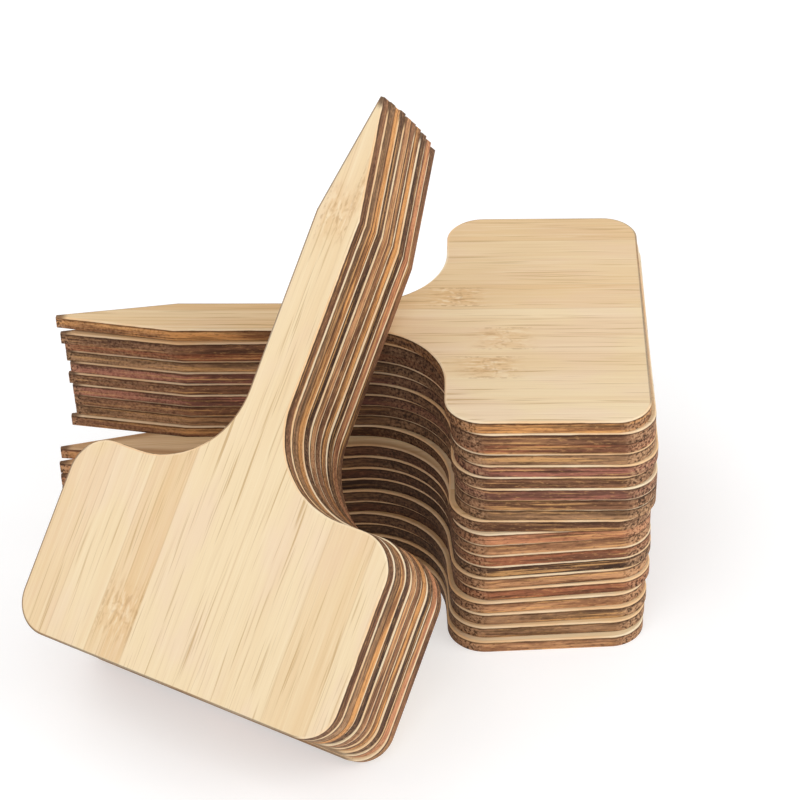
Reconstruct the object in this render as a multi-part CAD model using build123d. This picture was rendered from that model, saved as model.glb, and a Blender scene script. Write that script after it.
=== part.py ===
from build123d import *
from math import cos, radians, sin, tan
import os

# A set of T-shaped plant labels, each cut from one thin bamboo board. Twenty lie in a stack, and ten
# lean against it as a bundle that stands on its flat head ends. Millimetres, +Z up, floor at Z = 0.
# The origin is under the middle of the stack's head. The lying labels point along -X.

# One label
LABEL_LENGTH = 100.0
HEAD_WIDTH = 60.0
HEAD_DEPTH = 33.5
STEM_WIDTH = 8.0
POINT_LENGTH = 20.5
POINT_BLUNT = 0.7
END_CORNER_RADIUS = 6.0
SHOULDER_RADIUS = 6.5
SHOULDER_FLAT = 0.5
NECK_RADIUS = 15.0
BOARD_THICKNESS = 2.25
ARRIS = 0.2

# Air left between two boards that lie loosely on each other
AIR_GAP = 0.05
PITCH = BOARD_THICKNESS + AIR_GAP

# The lying stack, from the top label down: how far each head end sticks out, how far it is pushed
# back, and how far it is turned. The upper half is square, the lower half is twisted.
LYING_COUNT = 20
LYING_OUT = (
    0.4, 1, 1.3, 1.3, 1.8, 1.3, 1.8, 1.8, 1.8, 0.8,
    -0.8, -1.2, -1.2, -1.2, -1.8, -1.2, -1.8, -1.2, -1.2, -1.2,
)
LYING_BACK = (0, 0, 0.5, 0.5, 0.3, 0.2, 0, 0.2, 0.4, 0.2, 1.5, 2, 2, 2, 1.8, 1.3, 0.5, -0.2, -1.2, -2.5)
LYING_TURN = (0, 0.5, 0, 0, 0, 0, 0, 0, 0, 0, 4.5, 5.5, 5.8, 6, 6.4, 5.8, 5.5, 4.7, 4, 3.5)

# The leaning bundle, from the front label to the rear one: how far each label is drawn up, and how
# far it is moved to its left.
LEANING_COUNT = 10
LEANING_UP = (1.7, 1.7, 1.6, 1.8, 1.5, 1.5, 1.3, 1, 0.6, 0)
LEANING_LEFT = (0.3, 0.1, 0.2, 0.2, 0, 0.1, 0, -0.2, -0.3, -0.4)
LEAN_ANGLE = 46.0
LEAN_HEADING = 29.0
BUNDLE_SIDE = -23.6
LEAN_CLEARANCE = 0.3

# The neck's curve leaves at least a short flat on the shoulder.
NECK = min(NECK_RADIUS, (HEAD_WIDTH - STEM_WIDTH) / 2 - SHOULDER_RADIUS - SHOULDER_FLAT)

# Points taken along a label's rim to find where the bundle meets the stack, and the distance under
# which two points are the same
RIM_SAMPLES = 500
SAME_POINT = 1e-4

# Directions of the bundle: back over the stack, to the viewer's right, up the boards, out of their fronts
BACK = Vector(sin(radians(LEAN_HEADING)), cos(radians(LEAN_HEADING)), 0)
SIDE = Vector(cos(radians(LEAN_HEADING)), -sin(radians(LEAN_HEADING)), 0)
UP_BOARD = BACK * sin(radians(LEAN_ANGLE)) + Vector(0, 0, cos(radians(LEAN_ANGLE)))
FRONT = BACK * -cos(radians(LEAN_ANGLE)) + Vector(0, 0, sin(radians(LEAN_ANGLE)))


def label_outline():
    """The flat shape of a label: its head end on X = 0, its point towards -X."""
    half_head = HEAD_WIDTH / 2
    half_stem = STEM_WIDTH / 2
    half_tip = POINT_BLUNT / 2
    side = [
        (0, half_head),
        (-HEAD_DEPTH, half_head),
        (-HEAD_DEPTH, half_stem),
        (POINT_LENGTH - LABEL_LENGTH, half_stem),
        (-LABEL_LENGTH, half_tip),
    ]
    other = [(x, -y) for x, y in reversed(side)]
    shape = Polygon(*side, *other, align=None)

    def corners(x, y):
        near = [v for v in shape.vertices() if abs(v.X - x) < SAME_POINT]
        return [v for v in near if abs(abs(v.Y) - y) < SAME_POINT]

    shape = fillet(corners(0, half_head), END_CORNER_RADIUS)
    shape = fillet(corners(-HEAD_DEPTH, half_head), SHOULDER_RADIUS)
    return fillet(corners(-HEAD_DEPTH, half_stem), NECK)


def label_board(outline):
    """One board: the outline at its full thickness, with the rim of its upper face eased."""
    board = extrude(outline, BOARD_THICKNESS)
    rim = board.faces().sort_by(Axis.Z)[-1].edges()
    return chamfer(rim, ARRIS)


def lying_place(index):
    """Where a lying label is. Index 0 is the top label, and the last one lies on the floor."""
    height = (LYING_COUNT - 1 - index) * PITCH
    head_end = HEAD_DEPTH / 2 + LYING_OUT[index]
    return Location((head_end, LYING_BACK[index], height), (0, 0, LYING_TURN[index]))


def bundle_foot(outline):
    """The middle of the line on the floor where the rear label's back stands.

    A rim point at height z meets the leaning back where that back has come tan(lean) times z further
    than its foot, if the leaning label is wide enough at that height. The foot stands as near as the
    most forward of those rim points allows."""
    lean = radians(LEAN_ANGLE)
    rim = outline.face().outer_wire()
    spacing = rim.length / RIM_SAMPLES
    samples = [rim.position_at(i / RIM_SAMPLES) for i in range(RIM_SAMPLES)]
    nearest = None
    for index in range(LYING_COUNT):
        turn = radians(LYING_TURN[index])
        start = lying_place(index).position
        top = start.Z + BOARD_THICKNESS
        along = top / cos(lean) - LEANING_UP[-1]
        widths = [abs(p.Y) for p in samples if abs(p.X + along) < spacing]
        if not widths:
            continue
        reach = max(widths) + LEAN_CLEARANCE
        for p in samples:
            x = start.X + p.X * cos(turn) - p.Y * sin(turn)
            y = start.Y + p.X * sin(turn) + p.Y * cos(turn)
            across = x * SIDE.X + y * SIDE.Y - BUNDLE_SIDE + LEANING_LEFT[-1]
            if abs(across) > reach:
                continue
            limit = x * BACK.X + y * BACK.Y - top * tan(lean)
            nearest = limit if nearest is None else min(nearest, limit)
    return BACK * (nearest - LEAN_CLEARANCE / cos(lean)) + SIDE * BUNDLE_SIDE


def leaning_place(index, foot):
    """Where a leaning label is. Index 0 is the front label, and the last one is the rear label."""
    out = FRONT * ((LEANING_COUNT - 1 - index) * PITCH)
    shift = UP_BOARD * LEANING_UP[index] - SIDE * LEANING_LEFT[index]
    return Plane(origin=foot + out + shift, x_dir=UP_BOARD * -1, z_dir=FRONT).location


os.makedirs("parts", exist_ok=True)
outline = label_outline()
board = label_board(outline)
foot = bundle_foot(outline)

for index in range(LYING_COUNT):
    name = f"lying_label_{index + 1:02d}"
    label = board.moved(lying_place(index))
    label.label = name
    export_step(label, f"parts/{name}.step")

for index in range(LEANING_COUNT):
    name = f"leaning_label_{index + 1:02d}"
    label = board.moved(leaning_place(index, foot))
    label.label = name
    export_step(label, f"parts/{name}.step")
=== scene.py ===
# %% [markdown]
# # A stack of bamboo plant labels, and a bundle that leans on it
#
# The object is a set of loose plant labels. Each one is a thin bamboo board, cut to a T: a wide
# head to write on, and a stem with a point to push into the soil. The CAD model gives every board
# its place and its size. This lesson gives them the look of real bamboo: pale strips glued side by
# side, fine veins, knuckle marks, and edges that the cutting has scorched brown.

# %% Load the frame
import math

import bpy
import numpy as np
from mathutils import Matrix


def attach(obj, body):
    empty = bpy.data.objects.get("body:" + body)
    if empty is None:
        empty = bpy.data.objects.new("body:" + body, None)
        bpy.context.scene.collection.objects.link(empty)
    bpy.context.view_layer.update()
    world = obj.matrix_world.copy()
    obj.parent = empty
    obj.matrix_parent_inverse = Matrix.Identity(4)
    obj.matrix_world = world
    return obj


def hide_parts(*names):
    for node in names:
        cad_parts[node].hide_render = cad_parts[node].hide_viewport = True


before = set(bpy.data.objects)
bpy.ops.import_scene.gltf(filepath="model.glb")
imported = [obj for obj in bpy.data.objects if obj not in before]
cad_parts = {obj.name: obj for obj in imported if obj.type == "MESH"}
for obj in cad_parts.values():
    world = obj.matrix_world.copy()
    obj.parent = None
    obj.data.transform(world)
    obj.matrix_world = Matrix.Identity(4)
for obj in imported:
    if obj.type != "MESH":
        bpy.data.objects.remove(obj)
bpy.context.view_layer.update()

# %% [markdown]
# ## Where each board lies
#
# Every board is the same shape, so the lesson makes it once, flat, and then carries it to its place.
# The place could be typed in again, but the CAD node already knows it. Its broad faces give the
# direction out of the board. The front face is a little smaller than the back, because its rim is
# eased. The head end is the largest flat wall with none as large across from it, and its outward
# direction is the board's long axis.

# %% Read a board's place from its CAD node
# A triangle with less area, in square millimetres, is only a line. The rest are cosines between two
# directions: nearly the same, the same, and nearly square to each other.
NO_AREA, NEARLY_SAME, SAME, NEARLY_SQUARE = 1e-6, 0.999, 0.9999, 0.01


def board_place(node):
    """Axes and origin of a board, in millimetres: the axes' columns point out of the head end, across
    the board and out of its front; the origin is the middle of the head end's lower edge."""
    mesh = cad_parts[node].data
    points = np.empty(3 * len(mesh.vertices))
    mesh.vertices.foreach_get("co", points)
    points = points.reshape(-1, 3) * 1000
    corners = np.empty(len(mesh.loops), dtype=np.int32)
    mesh.loops.foreach_get("vertex_index", corners)
    a, b, c = np.moveaxis(points[corners.reshape(-1, 3)], 1, 0)
    facing = np.cross(b - a, c - a) / 2
    area = np.linalg.norm(facing, axis=1)
    facing, area = facing[area > NO_AREA], area[area > NO_AREA]
    facing = facing / area[:, None]
    out = facing[np.argmax(area)]
    if area[facing @ out > NEARLY_SAME].sum() > area[facing @ out < -NEARLY_SAME].sum():
        out = -out
    wall = np.abs(facing @ out) < NEARLY_SQUARE
    likeness = facing[wall] @ facing[wall].T
    unmatched = (1.0 * (likeness > SAME) - (likeness < -SAME)) @ area[wall]
    end = facing[wall][np.argmax(unmatched)]
    axes = np.stack([end, np.cross(out, end), out], axis=1)
    low, high = (points @ axes).min(0), (points @ axes).max(0)
    return axes, axes @ [high[0], (low[1] + high[1]) / 2, low[2]]


LYING = sorted(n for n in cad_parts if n.startswith("lying"))
LEANING = sorted(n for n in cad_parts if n.startswith("leaning"))
PLACES = {node: board_place(node) for node in LYING + LEANING}
front_faces = PLACES[LEANING[0]][0][:, 2]
print(len(LYING), "boards lie and", len(LEANING), "lean; the front one faces", front_faces.round(3))

# %% [markdown]
# ## The outline of a label
#
# The outline is straight lines and arcs, so it can be written down exactly. Each wall of the board
# needs it more than once: at full size for the wall, and drawn in a little for the eased rim and for
# the ring of face beside it. Drawing it in point by point would fold the narrow point over itself,
# so the function works from the drawn-in lines and arcs instead.

# %% Half of the outline, drawn in by any distance
LENGTH, HEAD_WIDTH, HEAD_DEPTH, STEM, POINT, BLUNT = 100.0, 60.0, 33.5, 8.0, 20.5, 0.7
END_RADIUS, SHOULDER_RADIUS, NECK_RADIUS, THICK, ARRIS = 6.0, 6.5, 15.0, 2.25, 0.2
ARC_POINTS, RUN_POINTS = 19, 13
# Half the width that the tip keeps where its drawn-in sides would meet, and half the slant of the
# shoulder's flat, without which a strip across the board would have no width there
TIP_KEEPS, FLAT_SLANT = 0.06, 0.004


def half_outline(inset):
    """Half of the outline from the head end to the point. Outer corners lose the inset from their
    radius, the neck gains it, and the sides of the point move in square to themselves until they meet."""

    def arc(x, y, radius, first, last):
        """Points at equal turns round a middle: the radius times the turn's cosine and sine."""
        turn = np.radians(np.linspace(first, last, ARC_POINTS))
        return np.stack([x + radius * np.cos(turn), y + radius * np.sin(turn)], axis=1)

    slope = (STEM - BLUNT) / 2 / POINT
    slant = math.hypot(1, slope)
    stem_half = STEM / 2 - inset
    start = POINT - LENGTH + inset * (slant - 1) / slope
    tip = max(inset, (inset * slant + TIP_KEEPS - BLUNT / 2) / slope) - LENGTH
    tip_half = BLUNT / 2 + slope * (tip + LENGTH) - inset * slant
    end_corner = arc(-END_RADIUS, HEAD_WIDTH / 2 - END_RADIUS, END_RADIUS - inset, 0, 90)
    shoulder_x, shoulder_y = SHOULDER_RADIUS - HEAD_DEPTH, HEAD_WIDTH / 2 - SHOULDER_RADIUS
    shoulder = arc(shoulder_x, shoulder_y, SHOULDER_RADIUS - inset, 90, 180)
    neck = arc(-HEAD_DEPTH - NECK_RADIUS, STEM / 2 + NECK_RADIUS, NECK_RADIUS + inset, 0, -90)
    shoulder[-1, 0] += FLAT_SLANT
    neck[0, 0] -= FLAT_SLANT
    stem = np.linspace([neck[-1, 0], stem_half], [start, stem_half], RUN_POINTS)[1:]
    point = np.linspace([start, stem_half], [tip, tip_half], RUN_POINTS)[1:]
    return np.concatenate([end_corner, shoulder, neck, stem, point])


print("points on half an outline:", len(half_outline(0)))

# %% [markdown]
# ## One board as rings
#
# A board is sawn flat, and the rim of its front is eased by sanding. It could be an extruded outline
# with a bevel, but the finish has to know every spot's place on the wall. So the wall is a profile
# carried round the outline: it starts on the back face, goes round the lower edge, up the wall, over
# the eased rim and onto the front face. Each ring of the profile is the outline drawn in by some
# distance, at some height.
#
# The finish needs to know where it is on the board. Three attributes tell it: "grain" is the place
# on the flat board, "cut" is the way along the wall, the height and how much the cut crosses the
# fibres, and "zone" says how much of a spot is wall, how near it is to the rim, and how much the rim
# there points to the shaded side of the board, whose rims get painted shade.

# %% Rings round a board
RIM, WALL_RING = 2.0, 2
PROFILE = np.array([
    # drawn in, height, wall, rim
    [RIM, 0, -1, 0],
    [0.05, 0, 1, 1],
    [0, 0.05, 1, 1],
    [0, 0.7, 1, 1],
    [0, 1.4, 1, 1],
    [0, THICK - ARRIS, 1, 1],
    [ARRIS, THICK, 1, 1],
    [RIM, THICK, 0, 0],
])


def board_rings(rim_shade_side):
    """The attributes of all points, as arrays of rings by points by three. The argument is the direction,
    on the flat board, of the side whose rims get painted shade, and its cosine with a rim's outward
    direction is how much painted shade that rim gets. The way along the wall is the sum of the steps
    between its points."""
    halves = np.stack([half_outline(inset) for inset in PROFILE[:, 0]])
    loops = np.concatenate([halves, halves[:, ::-1] * [1, -1]], axis=1)
    rings, count = loops.shape[:2]
    height = np.repeat(PROFILE[:, 1:2], count, axis=1)
    local = np.concatenate([loops, height[:, :, None]], axis=2)

    outer = halves[WALL_RING]
    steps = np.linalg.norm(np.diff(outer, axis=0), axis=1)
    way = np.concatenate([[0], np.cumsum(steps)]) + outer[0, 1]
    run = np.concatenate([way, -way[::-1]])
    along = np.gradient(np.concatenate([outer, outer[::-1] * [1, -1]]), axis=0)
    along = along / np.linalg.norm(along, axis=1)[:, None]
    along[[0, -1]] = [0, 1]
    outward = np.stack([along[:, 1], -along[:, 0]], axis=1)
    # How much painted shade each rim gets: how far its outward direction points to the shaded side.
    brown = np.clip(outward @ rim_shade_side, 0, 1)
    cut = np.stack([np.tile(run, (rings, 1)), height, np.tile(np.abs(along[:, 1]), (rings, 1))], axis=2)
    wall, rim = [np.repeat(PROFILE[:, k:k + 1], count, axis=1) for k in (2, 3)]
    zone = np.stack([wall, rim, np.tile(brown, (rings, 1))], axis=2)
    return local, cut, zone


print("rings and points on each:", board_rings(np.array([1.0, 0.0]))[0].shape[:2])

# %% [markdown]
# ## One board as a mesh
#
# Quads join each ring to the next one. Each face could be closed by one large polygon, but the thin top
# label is bent up a little towards its point, and a bent polygon shades badly. Strips that run across
# from one side of the board to the other stay flat, and they let the board bend.

# %% Make the mesh of a board
SHARP_ANGLE, BEND_FROM = 28, 50.0


def board_faces(rings, count):
    """Quads between each ring and the next, and strips from a point of the outermost rings to the
    point across the board from it."""
    ring, spot = np.meshgrid(np.arange(rings - 1) * count, np.arange(count), indexing="ij")
    after = (spot + 1) % count
    walls = np.stack([ring + spot, ring + after, ring + count + after, ring + count + spot], axis=2)
    row = np.arange(count // 2 - 1)
    strips = np.stack([row, row + 1, count - 2 - row, count - 1 - row], axis=1)
    return np.concatenate([walls.reshape(-1, 4), strips + (rings - 1) * count, strips[:, ::-1]])


def board_mesh(name, axes, origin, rim_shade_side, lift=0.0):
    """A board at its place, in metres. The point lifts with the square of the way along the stem."""
    local, cut, zone = board_rings(rim_shade_side)
    bent = local.copy()
    bent[:, :, 2] += lift * np.clip((-local[:, :, 0] - BEND_FROM) / (LENGTH - BEND_FROM), 0, 1) ** 2
    world = (bent.reshape(-1, 3) @ axes.T + origin) / 1000
    mesh = bpy.data.meshes.new(name)
    mesh.from_pydata(world.tolist(), [], board_faces(*local.shape[:2]).tolist())
    for key, values in {"grain": local, "cut": cut, "zone": zone}.items():
        layer = mesh.attributes.new(key, "FLOAT_VECTOR", "POINT")
        layer.data.foreach_set("vector", values.astype(np.float32).ravel())
    mesh.shade_smooth()
    mesh.set_sharp_from_angle(angle=math.radians(SHARP_ANGLE))
    mesh.validate()
    return mesh


trial = board_mesh("trial", np.eye(3), np.zeros(3), np.array([1.0, 0.0]))
print("one board:", len(trial.vertices), "points,", len(trial.polygons), "faces")
bpy.data.meshes.remove(trial)

# %% [markdown]
# ## Shader sums as plain Python
#
# A material is a net of nodes. Wiring them by hand hides the formula, so a small class wraps one
# output socket and lets Python's own signs work on it: adding two wires adds an Add node. Any other
# node comes from the method node(), which takes its type, its settings and its inputs.


# %% A wire that can be added, multiplied and mixed
class Wire:
    """One output socket of a node tree."""

    def __init__(self, tree, socket=None):
        self.tree, self.socket = tree, socket

    def node(self, kind, settings=(), inputs=(), out=0):
        """Any node: its type, its settings, which are set first, and the values or wires of its sockets."""
        new = self.tree.nodes.new(kind)
        for key, value in dict(settings).items():
            setattr(new, key, value)
        for key, value in dict(inputs).items():
            if isinstance(value, Wire):
                self.tree.links.new(value.socket, new.inputs[key])
            else:
                new.inputs[key].default_value = value
        return Wire(self.tree, new.outputs[out])

    def math(self, operation, a, b=0.0):
        """One Math node on two numbers or wires."""
        return self.node("ShaderNodeMath", {"operation": operation}, {0: a, 1: b})

    def __add__(self, other):
        return self.math("ADD", self, other)

    def __sub__(self, other):
        return self.math("SUBTRACT", self, other)

    def __rsub__(self, other):
        return self.math("SUBTRACT", other, self)

    def __mul__(self, other):
        return self.math("MULTIPLY", self, other)

    def __abs__(self):
        return self.math("ABSOLUTE", self)

    __radd__, __rmul__ = __add__, __mul__

    def most(self, other):
        """The larger of the two."""
        return self.math("MAXIMUM", self, other)

    def rise(self, low, high):
        """0 below low, 1 above high, and a smooth step between them."""
        settings = {"interpolation_type": "SMOOTHSTEP"}
        return self.node("ShaderNodeMapRange", settings, {0: self, 1: low, 2: high, 3: 0.0, 4: 1.0})

    def parts(self):
        """The three numbers of a vector, as three wires."""
        split = self.node("ShaderNodeSeparateXYZ", (), {0: self}).socket.node
        return [Wire(self.tree, socket) for socket in split.outputs]

    def noise(self, stretch, seed, detail=3.0, rough=0.55):
        """Cloudy values around one half. A small stretch along an axis draws the clouds out along it."""
        move = (seed, 2.7 * seed, 1.3 * seed)
        settings = {"operation": "MULTIPLY_ADD"}
        place = self.node("ShaderNodeVectorMath", settings, {0: self, 1: stretch, 2: move})
        inputs = {"Vector": place, "Scale": 1.0, "Detail": detail, "Roughness": rough}
        return self.node("ShaderNodeTexNoise", (), inputs)

    def blend(self, below, above):
        """The colour below where this wire is 0, and the colour above where it is 1."""
        return self.node("ShaderNodeMix", {"data_type": "RGBA"}, {0: self, 6: below, 7: above}, out=2)


print("reflected signs that wires know:", ", ".join(key for key in vars(Wire) if key.startswith("__r")))

# %% [markdown]
# ## Colours
#
# A colour is easiest to name by what a screen shows, from 0 to 255 for red, green and blue. Shaders
# reckon with the light itself, which grows faster than those numbers. The light could be typed in, but
# a function keeps the readable numbers in the lesson.

# %% From screen numbers to light
def tint(red, green, blue):
    """The light of a screen colour: about the power 2.4 of its share of 255, and a straight line
    through zero for the darkest."""
    share = np.array([red, green, blue]) / 255
    linear = np.where(share <= 0.04045, share / 12.92, ((share + 0.055) / 1.055) ** 2.4)
    return (*linear.tolist(), 1.0)


print("pale straw in linear light:", np.round(tint(240, 217, 180), 3))

# %% [markdown]
# ## Knuckles
#
# Where the cane had a joint, a strip carries a knuckle. The wood around it is stained and full of short
# dark and pale dashes. Two faint crooked lines cross the strip with a pale swelling between them, and
# broken lines lead away along the strip's edges. A knuckle could be a small painted patch, but
# distances to its middle give all of this with no picture, and noise breaks the lines.

# %% A knuckle mark
HONEY, CREAM, KNUCKLE = tint(222, 180, 126), tint(249, 232, 200), tint(164, 114, 66)
LINE_OFF, STAIN_ENDS = 0.8, 7  # millimetres from the knuckle's middle, along the board


def add_knuckle(colour, grain, knuckle, seed):
    """The colour with one knuckle, which is given by its place along and across the board, half its
    width and its strength. Its lines lie LINE_OFF before and after the middle, and its stain fades out
    along the strip."""
    place, across, wide, strength = knuckle
    x, y, _ = grain.parts()
    crooked = (grain.noise((0.2, 0.4, 0), seed + place, 1) - 0.5) * 3
    broken = grain.noise((0.9, 1.3, 0), seed + across, 2).rise(0.42, 0.58)
    dash = grain.noise((0.4, 1.5, 0), seed + place + 2, 2)
    along, side = abs(x - place), abs(y - across)
    off = abs(x - place + crooked)
    inside = 1 - side.rise(wide * 0.6, wide)
    around = (1 - along.rise(1, STAIN_ENDS)) * (1 - side.rise(wide * 0.7, wide * 1.1))
    swelling = (1 - off.rise(0.2, 1.0)) * inside
    lines = (1 - abs(off - LINE_OFF).rise(0.08, 0.3)) * inside * broken
    leads = (1 - abs(side - wide).rise(0.06, 0.3)) * (1 - along.rise(2, STAIN_ENDS)) * broken
    marks = (lines * 0.5).most(leads * 0.9).most(dash.rise(0.53, 0.66) * around * 0.9)
    colour = (around * (0.45 * strength)).blend(colour, HONEY)
    colour = (dash.rise(0.47, 0.34) * around * (0.6 * strength)).blend(colour, CREAM)
    colour = (swelling * broken * (0.3 * strength)).blend(colour, CREAM)
    return (marks * (0.5 * strength)).blend(colour, KNUCKLE)


print("knuckle brown", np.round(KNUCKLE[:3], 2))

# %% [markdown]
# ## The face: strips and veins
#
# A bamboo board is glued from narrow strips, and each strip has its own tone between straw and
# honey, with a pink blush in places. Soft streaks run the whole length, and thin olive veins come and
# go and waver a little. The strips are steps across the board, and noise that is drawn out along it
# gives the streaks. Cut off near its peaks, the same kind of noise leaves thin dashes, and these are
# the veins. A slow noise moves them sideways.

# %% The face's colour
STRAW, BLUSH = tint(240, 217, 178), tint(238, 211, 184)
VEIN, GLUE = tint(188, 151, 101), tint(194, 152, 100)
GLUE_HALF, STEM_STARTS = 0.2, (-30, -52)  # half a glue line, and where the head gives way to the stem


def face_colour(grain, strips, knuckles, stem, seed):
    """Colour of the face and height of its grain. strips are pairs of where a strip starts across the
    board, in millimetres, and its tone from 0, straw, to 1, honey. stem is added to the tone along
    the stem. Each further layer is a noise, cut off by a smooth step, that blends in its colour."""
    x, y, _ = grain.parts()
    tone, glue = strips[0][1], 0.0
    for (_, before), (start, value) in zip(strips, strips[1:]):
        tone = (y - start).rise(-GLUE_HALF, GLUE_HALF) * (value - before) + tone
        glue = (1 - abs(y - start) * (1 / GLUE_HALF)).most(glue)
    drift = grain.noise((0.014, 0.13, 0), seed, 2)
    streak = grain.noise((0.007, 0.8, 0), seed + 3, 4, 0.6)
    fine = grain.noise((0.06, 3.4, 0), seed + 5, 2)
    sideways = (grain.noise((0.05, 0.12, 0), seed + 1, 1) - 0.5) * 0.9
    wavering = grain.node("ShaderNodeCombineXYZ", (), {0: x, 1: y + sideways})
    vein = wavering.noise((0.04, 1.45, 0), seed + 7, 1).rise(0.61, 0.75)
    thread = wavering.noise((0.06, 2.6, 0), seed + 9, 1).rise(0.62, 0.74)
    blush = grain.noise((0.06, 0.14, 0), seed + 11, 2).rise(0.42, 0.66)
    tone = tone * 0.9 + x.rise(*STEM_STARTS) * stem + (drift - 0.5) * 0.6 + (streak - 0.5) * 0.6
    colour = tone.blend((blush * 0.5).blend(STRAW, BLUSH), HONEY)
    colour = (fine.rise(0.54, 0.74) * 0.16).blend(colour, VEIN)
    colour = (fine.rise(0.46, 0.3) * 0.25).blend(colour, CREAM)
    colour = (vein * 0.65).most(thread * 0.45).blend(colour, VEIN)
    colour = (glue.rise(0, 1) * 0.3).blend(colour, GLUE)
    for knuckle in knuckles:
        colour = add_knuckle(colour, grain, knuckle, seed)
    return colour, fine * 0.5 + streak * 0.3 - vein * 0.4


print("straw", np.round(STRAW[:3], 2), "honey", np.round(HONEY[:3], 2))

# %% [markdown]
# ## The wall: scorched by the cut
#
# The cut burns the wall of each board brown, and no two boards burn alike: some are nearly black,
# others rust red, amber or grey. Every burn has two tones, which lie beside each other in blotches a
# few millimetres long, with dark streaks and specks along the fibres. A burnt line runs below the
# rim. Where the cut crosses the fibres, at the head end, the shoulders, the neck and the point, the
# wall is full of small black pores and pale flecks. The necks lie in the shadow of the bundle and of
# the boards above, so their walls are darkened with painted shade. A picture could be wrapped round
# the wall, but then every board would burn alike. Noise on the way along the wall differs from board
# to board by a number that is added to its place.

# %% The wall's colour
SCORCH = {
    "russet": (tint(172, 108, 76), tint(126, 82, 60)),
    "umber": (tint(140, 98, 71), tint(100, 68, 49)),
    "ash": (tint(168, 128, 94), tint(120, 90, 64)),
    "plum": (tint(168, 108, 90), tint(118, 78, 64)),
    "tan": (tint(208, 154, 110), tint(154, 108, 76)),
    "peach": (tint(212, 146, 106), tint(172, 112, 80)),
    "amber": (tint(222, 158, 96), tint(142, 96, 62)),
    "char": (tint(98, 70, 53), tint(64, 45, 35)),
}
BURNT, BLACK, PORE_BROWN = tint(68, 44, 32), tint(38, 27, 21), tint(182, 140, 106)
# The third colour here is the dark brown of the painted shade in the necks.
TOAST, FLECK, NECK_SHADE_BROWN = tint(236, 180, 116), tint(214, 172, 132), tint(44, 28, 20)
# Where the painted shade of the neck begins and ends along the board, and the heights of the burnt line
NECK_SHADE_STARTS, NECK_SHADE_ENDS, BURNT_LINE = (-27, -36), (-54, -66), (1.55, 1.9)


def wall_colour(grain, cut, tone, pores, painted_shade, seed):
    """Colour of the scorched wall and height of its grain. pores is how much the pores show where the
    cut crosses the fibres, and the last argument is how dark the painted shade of the neck is. Each
    layer is a noise, cut off by a smooth step, that blends in its colour."""
    x, _, _ = grain.parts()
    _, height, across = cut.parts()
    blotch = cut.noise((0.07, 0.7, 0), seed, 3, 0.6)
    streak = cut.noise((0.04, 2.0, 0), seed + 2, 4, 0.6)
    light = cut.noise((0.05, 1.6, 0), seed + 6, 2)
    speck = cut.noise((0.7, 2.6, 0), seed + 14, 3, 0.7)
    fine = cut.noise((0.5, 6.0, 0), seed + 4, 3, 0.6)
    grit = cut.noise((2.2, 2.0, 0), seed + 8, 2)
    pore = grit.rise(0.52, 0.6)
    ragged = (cut.noise((0.35, 0, 0), seed + 10, 3) - 0.5) * 0.7
    strong, weak = SCORCH[tone]
    base = blotch.rise(0.42, 0.58).blend(strong, weak)
    along = (light.rise(0.54, 0.66) * 0.6).blend(base, TOAST)
    along = (streak.rise(0.53, 0.66) * 0.75).blend(along, BURNT)
    along = (speck.rise(0.46, 0.3) * 0.35).blend(along, TOAST)
    along = (speck.rise(0.54, 0.68) * 0.5).blend(along, BURNT)
    end_grain = (light * 0.9).blend(base, PORE_BROWN)
    end_grain = (grit.rise(0.46, 0.36) * 0.6).blend(end_grain, FLECK)
    end_grain = (pore * 0.85).blend(end_grain, BLACK)
    colour = (across.rise(0.02, 0.4) * pores).blend(along, end_grain)
    colour = ((height + ragged).rise(*BURNT_LINE) * 0.7).blend(colour, BURNT)
    colour = (fine.rise(0.5, 0.72) * 0.35).blend(colour, BURNT)
    # Painted shade: the neck lies in the shadow of the bundle and of the boards above, so its walls are
    # darkened.
    neck = x.rise(*NECK_SHADE_STARTS) * (1 - x.rise(*NECK_SHADE_ENDS))
    colour = (neck * (0.5 + speck * 0.36) * painted_shade).blend(colour, NECK_SHADE_BROWN)
    return colour, fine * 0.6 - pore * across


print(len(SCORCH), "burns:", ", ".join(SCORCH))

# %% [markdown]
# ## One finish for a whole board
#
# A board has one material. Two finishes on one mesh could take two material slots, but the burn has
# no sharp border, so a mask mixes them instead. The wall is scorched up to the eased rim, which
# sanding has left pale, and toasted in places. On the shaded side of the top label and of the leaning
# boards the rim takes the wall's brown as painted shade. Along the stems of the lying boards below the
# top one, painted shade darkens the rim and a band of the face behind it, where the boards above shade
# them. The last millimetres of every point are burnt all round.

# %% Mix face and wall
# The shaded tan of the painted shade on the stems of the lying boards below the top one
FACE_SHADE_TAN = tint(178, 134, 94)
# Where the painted shade on the face begins and where the point is burnt, along the board; and how softly the
# pale rim begins
FACE_SHADE_STARTS, BURNT_POINT, SANDED_FADE = (-22, -40), (-97.6, -99.2), 0.09
GLOSS, GRAIN_STRENGTH, GRAIN_DEPTH = 0.15, 0.3, 0.0002


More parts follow.
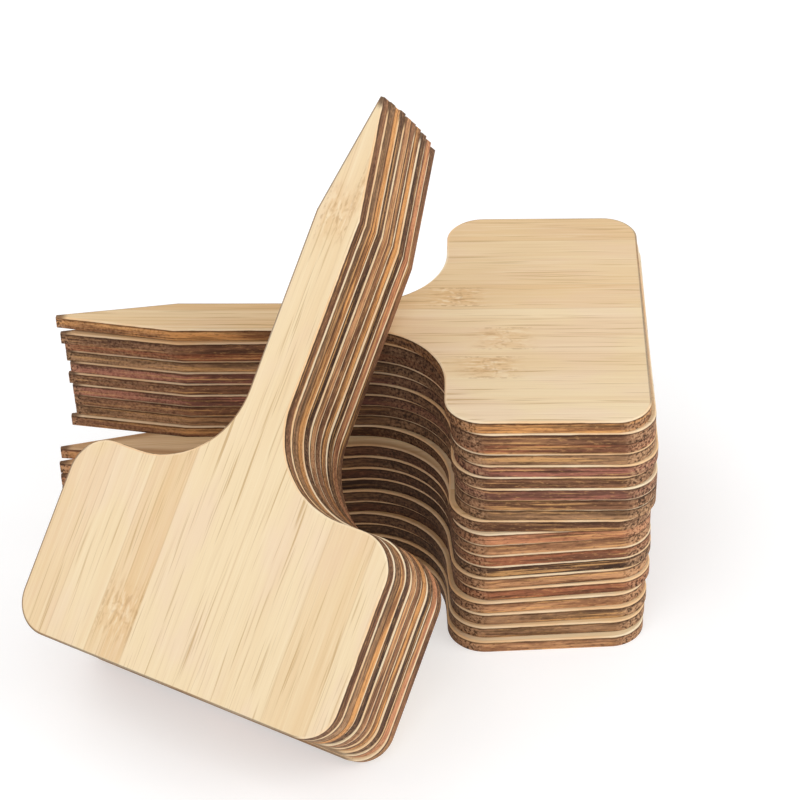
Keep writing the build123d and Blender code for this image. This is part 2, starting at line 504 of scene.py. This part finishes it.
def bamboo(name, layout, tone, seed, unshaded_face, outline, sanded_from, pores, painted_shade):
    """The material of one board. layout is what face_colour takes; the argument after the seed is 1 for
    a face without the band of painted shade; outline is how much of the wall's brown the rims on the
    shaded side take as painted shade; and sanded_from is the height where the pale rim begins. Face and
    wall are mixed by the largest of three masks: the wall below that height, the rim with painted
    shade, and the burnt point."""
    material = bpy.data.materials.new(name)
    material.use_nodes = True
    tree = material.node_tree
    shader = tree.nodes["Principled BSDF"]
    first = Wire(tree)
    keys = ("grain", "cut", "zone")
    grain, cut, zone = [first.node("ShaderNodeAttribute", {"attribute_name": key}, out=1) for key in keys]
    wall, rim, brown = zone.parts()
    x, _, _ = grain.parts()
    _, height, _ = cut.parts()
    face, face_height = face_colour(grain, *layout, seed)
    burn, burn_height = wall_colour(grain, cut, tone, pores, painted_shade, seed)
    uneven = cut.noise((0.3, 0, 0), seed + 12, 3)
    edge = rim.rise(0.86, 0.97)
    sanded = (height + (uneven - 0.5) * 0.22).rise(sanded_from, sanded_from + SANDED_FADE)
    scorched = wall.rise(-0.1, 0.3) * (1 - sanded)
    # Painted shade: the rims on the shaded side take the wall's brown.
    rim_shade_side = rim.rise(0.88, 0.98) * brown.rise(0.15, 0.5) * outline
    burnt_tip = (x + (uneven - 0.5) * 2).rise(*BURNT_POINT) * 0.9
    mask = scorched.most(rim_shade_side).most(burnt_tip)
    toasted = cut.noise((0.05, 0, 0), seed + 16, 2).rise(0.42, 0.62)
    face = (edge * 0.5).blend(face, CREAM)
    face = (edge * toasted * 0.55).blend(face, TOAST)
    # Painted shade: along the stems of the lying boards below the top one, a band of rim and face is darkened
    # to a shaded tan.
    face_shade_band = rim.rise(0.05, 0.8) * 0.6 - edge * 0.1
    face = (face_shade_band * x.rise(*FACE_SHADE_STARTS) * (painted_shade * (1 - unshaded_face))).blend(face, FACE_SHADE_TAN)
    height_mix = face_height + (burn_height - face_height) * mask
    relief = {"Strength": GRAIN_STRENGTH, "Distance": GRAIN_DEPTH, "Height": height_mix}
    links = {
        "Base Color": mask.blend(face, burn),
        "Roughness": 0.5 + mask * 0.26 + (uneven - 0.5) * 0.1,
        "Normal": first.node("ShaderNodeBump", (), relief),
    }
    for socket, wire in links.items():
        tree.links.new(wire.socket, shader.inputs[socket])
    shader.inputs["Specular IOR Level"].default_value = GLOSS
    return material


trial = bamboo("trial", ([(-30, 0.2), (0, 0.6)], [(-20, 0, 4, 1)], 0.1), "tan", 1, 1, 0.6, 2.0, 0.9, 1.0)
print("one finish:", len(trial.node_tree.nodes), "nodes")
bpy.data.materials.remove(trial)

# %% [markdown]
# ## What each board looks like
#
# Two boards show their whole face: the one on top of the stack and the front one of the bundle.
# Their strips and knuckle marks are placed after the photograph. The other boards show
# little more than a wall, so a seeded random generator lays out their strips, and the same numbers
# come out on every run. The burns of the walls are named from the top label down and from
# the front label to the rear one.

# %% Strips, knuckles and burns
SHOWN = {
    LYING[0]: (
        [(-30, 0.02), (-24.9, 0.14), (-16.2, 0.26), (-11.4, 0.16), (-6, 0.2), (-1.2, 0.1), (1.8, 0.5),
         (9, 0.35), (22.7, 0.64)],
        [(-31.9, 5.4, 2.6, 1.0), (-23.8, -6.9, 3.0, 0.8), (-26.3, -14.1, 1.9, 0.9), (-26, -16.8, 1.2, 0.7)],
        0.35,
    ),
    LEANING[0]: (
        [(-30, 0.26), (-23.2, 0.08), (-15.5, 0.32), (-12.6, 0.5), (-8.7, 0.0), (4.5, -0.04), (18.2, 0.32),
         (26.2, 0.05)],
        [(-79.7, -0.3, 2.4, 0.8), (-84.5, 2.7, 1.0, 0.6), (-8.2, -12.0, 3.2, 0.7)],
        0.12,
    ),
}
LYING_BURNS = (
    "amber umber russet ash plum umber plum umber ash umber "
    "peach tan russet char tan russet tan ash ash tan"
).split()
LEANING_BURNS = "umber ash amber char tan umber amber char peach umber".split()
LAST_START = 28  # millimetres across the board, so that the last strip isn't a sliver


def random_layout(seed):
    """Strips of 7 to 16 mm with tones between straw and honey, and a knuckle on two of them."""
    dice = np.random.default_rng(seed)
    starts = np.cumsum(np.concatenate([[-HEAD_WIDTH / 2], dice.uniform(7, 16, 8)]))
    starts = starts[starts < LAST_START]
    tones = dice.uniform(0.0, 0.7, len(starts))
    strips = list(zip(starts.round(1).tolist(), tones.round(2).tolist()))
    spots = dice.uniform([-30, -24], [-6, 24], (2, 2)).round(1)
    return strips, [(x, y, 3.0, 0.8) for x, y in spots.tolist()], 0.2


print("strips on the top label:", len(SHOWN[LYING[0]][0]), "and on the front one:", len(SHOWN[LEANING[0]][0]))

# %% [markdown]
# ## Build the boards
#
# Each board now takes its mesh, its finish and its place in the frame. Thirty copies of one mesh could
# do, but all of them would have the same grain, so each board has its own mesh and finish. It rides on
# the body of its CAD node and stands for that node. The top label's point is bent up a little, as on
# the real stack. The lower lying boards, deepest in shadow, get the darkest painted shade in their
# necks, and sanding has taken more or less off the rims of the leaning boards.

# %% Thirty boards
# On each flat board, the direction of the side whose rims get painted shade, for lying and leaning boards
POINT_LIFT, SHADE_SIDE_LYING, SHADE_SIDE_LEANING = 0.45, (0.5, 0.85), (0.5, -0.85)
LYING_SANDED = 2.0
LEANING_SANDED = (2.06, 2.02, 2.06, 1.92, 1.98, 1.9, 2.04, 1.92, 2.05, 1.98)
# How strong the painted shade of neck and stem is on the upper ten lying boards and on the lower ones
UPPER_LYING, UPPER_PAINTED_SHADE, LOWER_PAINTED_SHADE = 10, 0.85, 1.25
LYING_SEED, LEANING_SEED, SEED_STEP = 3, 400, 11


def build_board(node, tone, slot, shade_side, seed, **wear):
    """The board that stands for one node. The fourth argument is the direction of the rims that get
    painted shade, and wear is what bamboo takes after the seed."""
    lift = POINT_LIFT if node == LYING[0] else 0.0
    mesh = board_mesh(node + "_board", *PLACES[node], np.array(shade_side), lift)
    layout = SHOWN.get(node) or random_layout(seed)
    mesh.materials.append(bamboo(node + "_bamboo", layout, tone, seed, **wear))
    piece = bpy.data.objects.new(node + "_board", mesh)
    bpy.context.scene.collection.objects.link(piece)
    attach(piece, node)
    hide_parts(node)


for index, (node, tone) in enumerate(zip(LYING, LYING_BURNS)):
    top = 1 if index == 0 else 0
    painted_shade = UPPER_PAINTED_SHADE if index < UPPER_LYING else LOWER_PAINTED_SHADE
    wear = dict(unshaded_face=top, outline=0.65 * top, sanded_from=LYING_SANDED, pores=0.9, painted_shade=painted_shade)
    build_board(node, tone, "bamboo_lying", SHADE_SIDE_LYING, LYING_SEED + SEED_STEP * index, **wear)
# The leaning boards get only a trace of painted shade in the neck, and no band of it on the face.
for index, (node, tone) in enumerate(zip(LEANING, LEANING_BURNS)):
    wear = dict(unshaded_face=1, outline=0.7, sanded_from=LEANING_SANDED[index], pores=0.4, painted_shade=0.12)
    build_board(node, tone, "bamboo_leaning", SHADE_SIDE_LEANING, LEANING_SEED + SEED_STEP * index, **wear)
print(len(LYING), "lying and", len(LEANING), "leaning boards")

# %% [markdown]
# ## The table
#
# The labels stand on plain white paper. A photographer lights such paper until it is nearly pure
# white, and only the closest shadows stay. A little light of its own gives the paper that look
# without flooding the boards. Far from them it glows more, so that no edge shows where it ends.

# %% A plain pale floor
FLOOR_HALF = 4.0
DIM_PAPER, PALE_PAPER = tint(211, 211, 211), tint(215, 215, 215)
GLOW_NEAR, GLOW_FAR, FADE = (0.45, 0.45, 0.45, 1), (0.97, 0.97, 0.97, 1), (0.35, 1.1)
corners = FLOOR_HALF * np.array([[-1, -1, 0], [1, -1, 0], [1, 1, 0], [-1, 1, 0]])
floor_mesh = bpy.data.meshes.new("paper_floor")
floor_mesh.from_pydata(corners.tolist(), [], [(0, 1, 2, 3)])
floor = bpy.data.objects.new("paper_floor", floor_mesh)
bpy.context.scene.collection.objects.link(floor)
paper = bpy.data.materials.new("white_paper")
paper.use_nodes = True
paper_shader = paper.node_tree.nodes["Principled BSDF"]
spot = Wire(paper.node_tree).node("ShaderNodeTexCoord", (), (), out=3)
white = spot.noise((60, 60, 60), 1.0).blend(DIM_PAPER, PALE_PAPER)
paper.node_tree.links.new(white.socket, paper_shader.inputs["Base Color"])
away = spot.node("ShaderNodeVectorMath", {"operation": "LENGTH"}, {0: spot}, out=1)
glow = away.rise(*FADE).blend(GLOW_NEAR, GLOW_FAR)
paper.node_tree.links.new(glow.socket, paper_shader.inputs["Emission Color"])
paper_shader.inputs["Roughness"].default_value = 0.9
paper_shader.inputs["Specular IOR Level"].default_value = 0.1
paper_shader.inputs["Emission Strength"].default_value = 1.0
floor_mesh.materials.append(paper)
print("floor is", 2 * FLOOR_HALF, "m square")

# %% [markdown]
# ## The light
#
# Soft studio light comes from everywhere: a pale sky fills all sides, and it is brightest near the
# table, where a photographer's white paper would be hung. A large lamp in front, high and a little to
# the left, shades the forms. A weaker one from the right lifts the walls of the leaning bundle and the
# head ends, and one from behind reaches the stems under the bundle. The sky alone would light the
# scene too, but with no side brighter than another the forms would look flat.

# %% Soft studio light
scene = bpy.context.scene
scene.view_settings.view_transform = "Standard"
world = bpy.data.worlds.new("bright_sky")
world.use_nodes = True
_, _, above = Wire(world.node_tree).node("ShaderNodeTexCoord").parts()
SKY_LOW, SKY_HIGH, SKY_FADE = (1, 1, 1, 1), (0.44, 0.44, 0.44, 1), (0.1, 0.3)
sky = above.rise(*SKY_FADE).blend(SKY_LOW, SKY_HIGH)
world.node_tree.links.new(sky.socket, world.node_tree.nodes["Background"].inputs["Color"])
scene.world = world
MIDDLE = (-0.02, -0.01, 0.03)


def soft_lamp(name, place, size, power):
    """A square lamp at place, in metres, whose light falls towards the middle of the object."""
    data = bpy.data.lights.new(name, "AREA")
    data.size, data.energy = size, power
    lamp = bpy.data.objects.new(name, data)
    scene.collection.objects.link(lamp)
    back = np.subtract(place, MIDDLE) / np.linalg.norm(np.subtract(place, MIDDLE))
    right = np.cross((0, 0, 1), back) / np.linalg.norm(np.cross((0, 0, 1), back))
    turn = np.eye(4)
    turn[:3] = np.stack([right, np.cross(back, right), back, place], axis=1)
    lamp.matrix_world = Matrix(turn.tolist())


soft_lamp("key_lamp", (-0.3, -0.46, 0.76), 0.9, 3.4)
soft_lamp("fill_lamp", (0.68, -0.2, 0.46), 0.6, 2.75)
soft_lamp("back_lamp", (-0.5, 0.45, 0.6), 0.8, 1.7)
print(len(bpy.data.lights), "soft lamps and a bright sky")

# %% [markdown]
# ## The camera
#
# The camera stands where the photograph was taken: in front, about 37 degrees above the table, with
# a long lens that hardly shows perspective. Its focal length is measured in pixels of the 800 pixel
# wide image, so that the width of the sensor drops out.

# %% The camera at the photograph's angle
IMAGE_WIDTH, FOCAL_PIXELS = 800, 2461.0
EYE = np.array([-9.29, -342.0, 285.71]) / 1000
turned, tipped, rolled = np.radians([2.564, 36.976, 1.882])
level = np.array([math.cos(turned), math.sin(turned), 0])
inward = np.array([-math.sin(turned), math.cos(turned), 0])
ahead = math.cos(tipped) * inward - np.array([0, 0, math.sin(tipped)])
down = np.cross(ahead, level)
right = math.cos(rolled) * level + math.sin(rolled) * down
below = math.cos(rolled) * down - math.sin(rolled) * level
pose = np.eye(4)
pose[:3] = np.stack([right, -below, -ahead, EYE], axis=1)
lens = bpy.data.cameras.new("photo_camera")
lens.sensor_width = 36.0
lens.lens = FOCAL_PIXELS / IMAGE_WIDTH * lens.sensor_width
lens.clip_start = 0.01
camera = bpy.data.objects.new("photo_camera", lens)
scene.collection.objects.link(camera)
camera.matrix_world = Matrix(pose.tolist())
scene.camera = camera
print("lens", round(lens.lens, 1), "mm, looking along", ahead.round(3))

# %% [markdown]
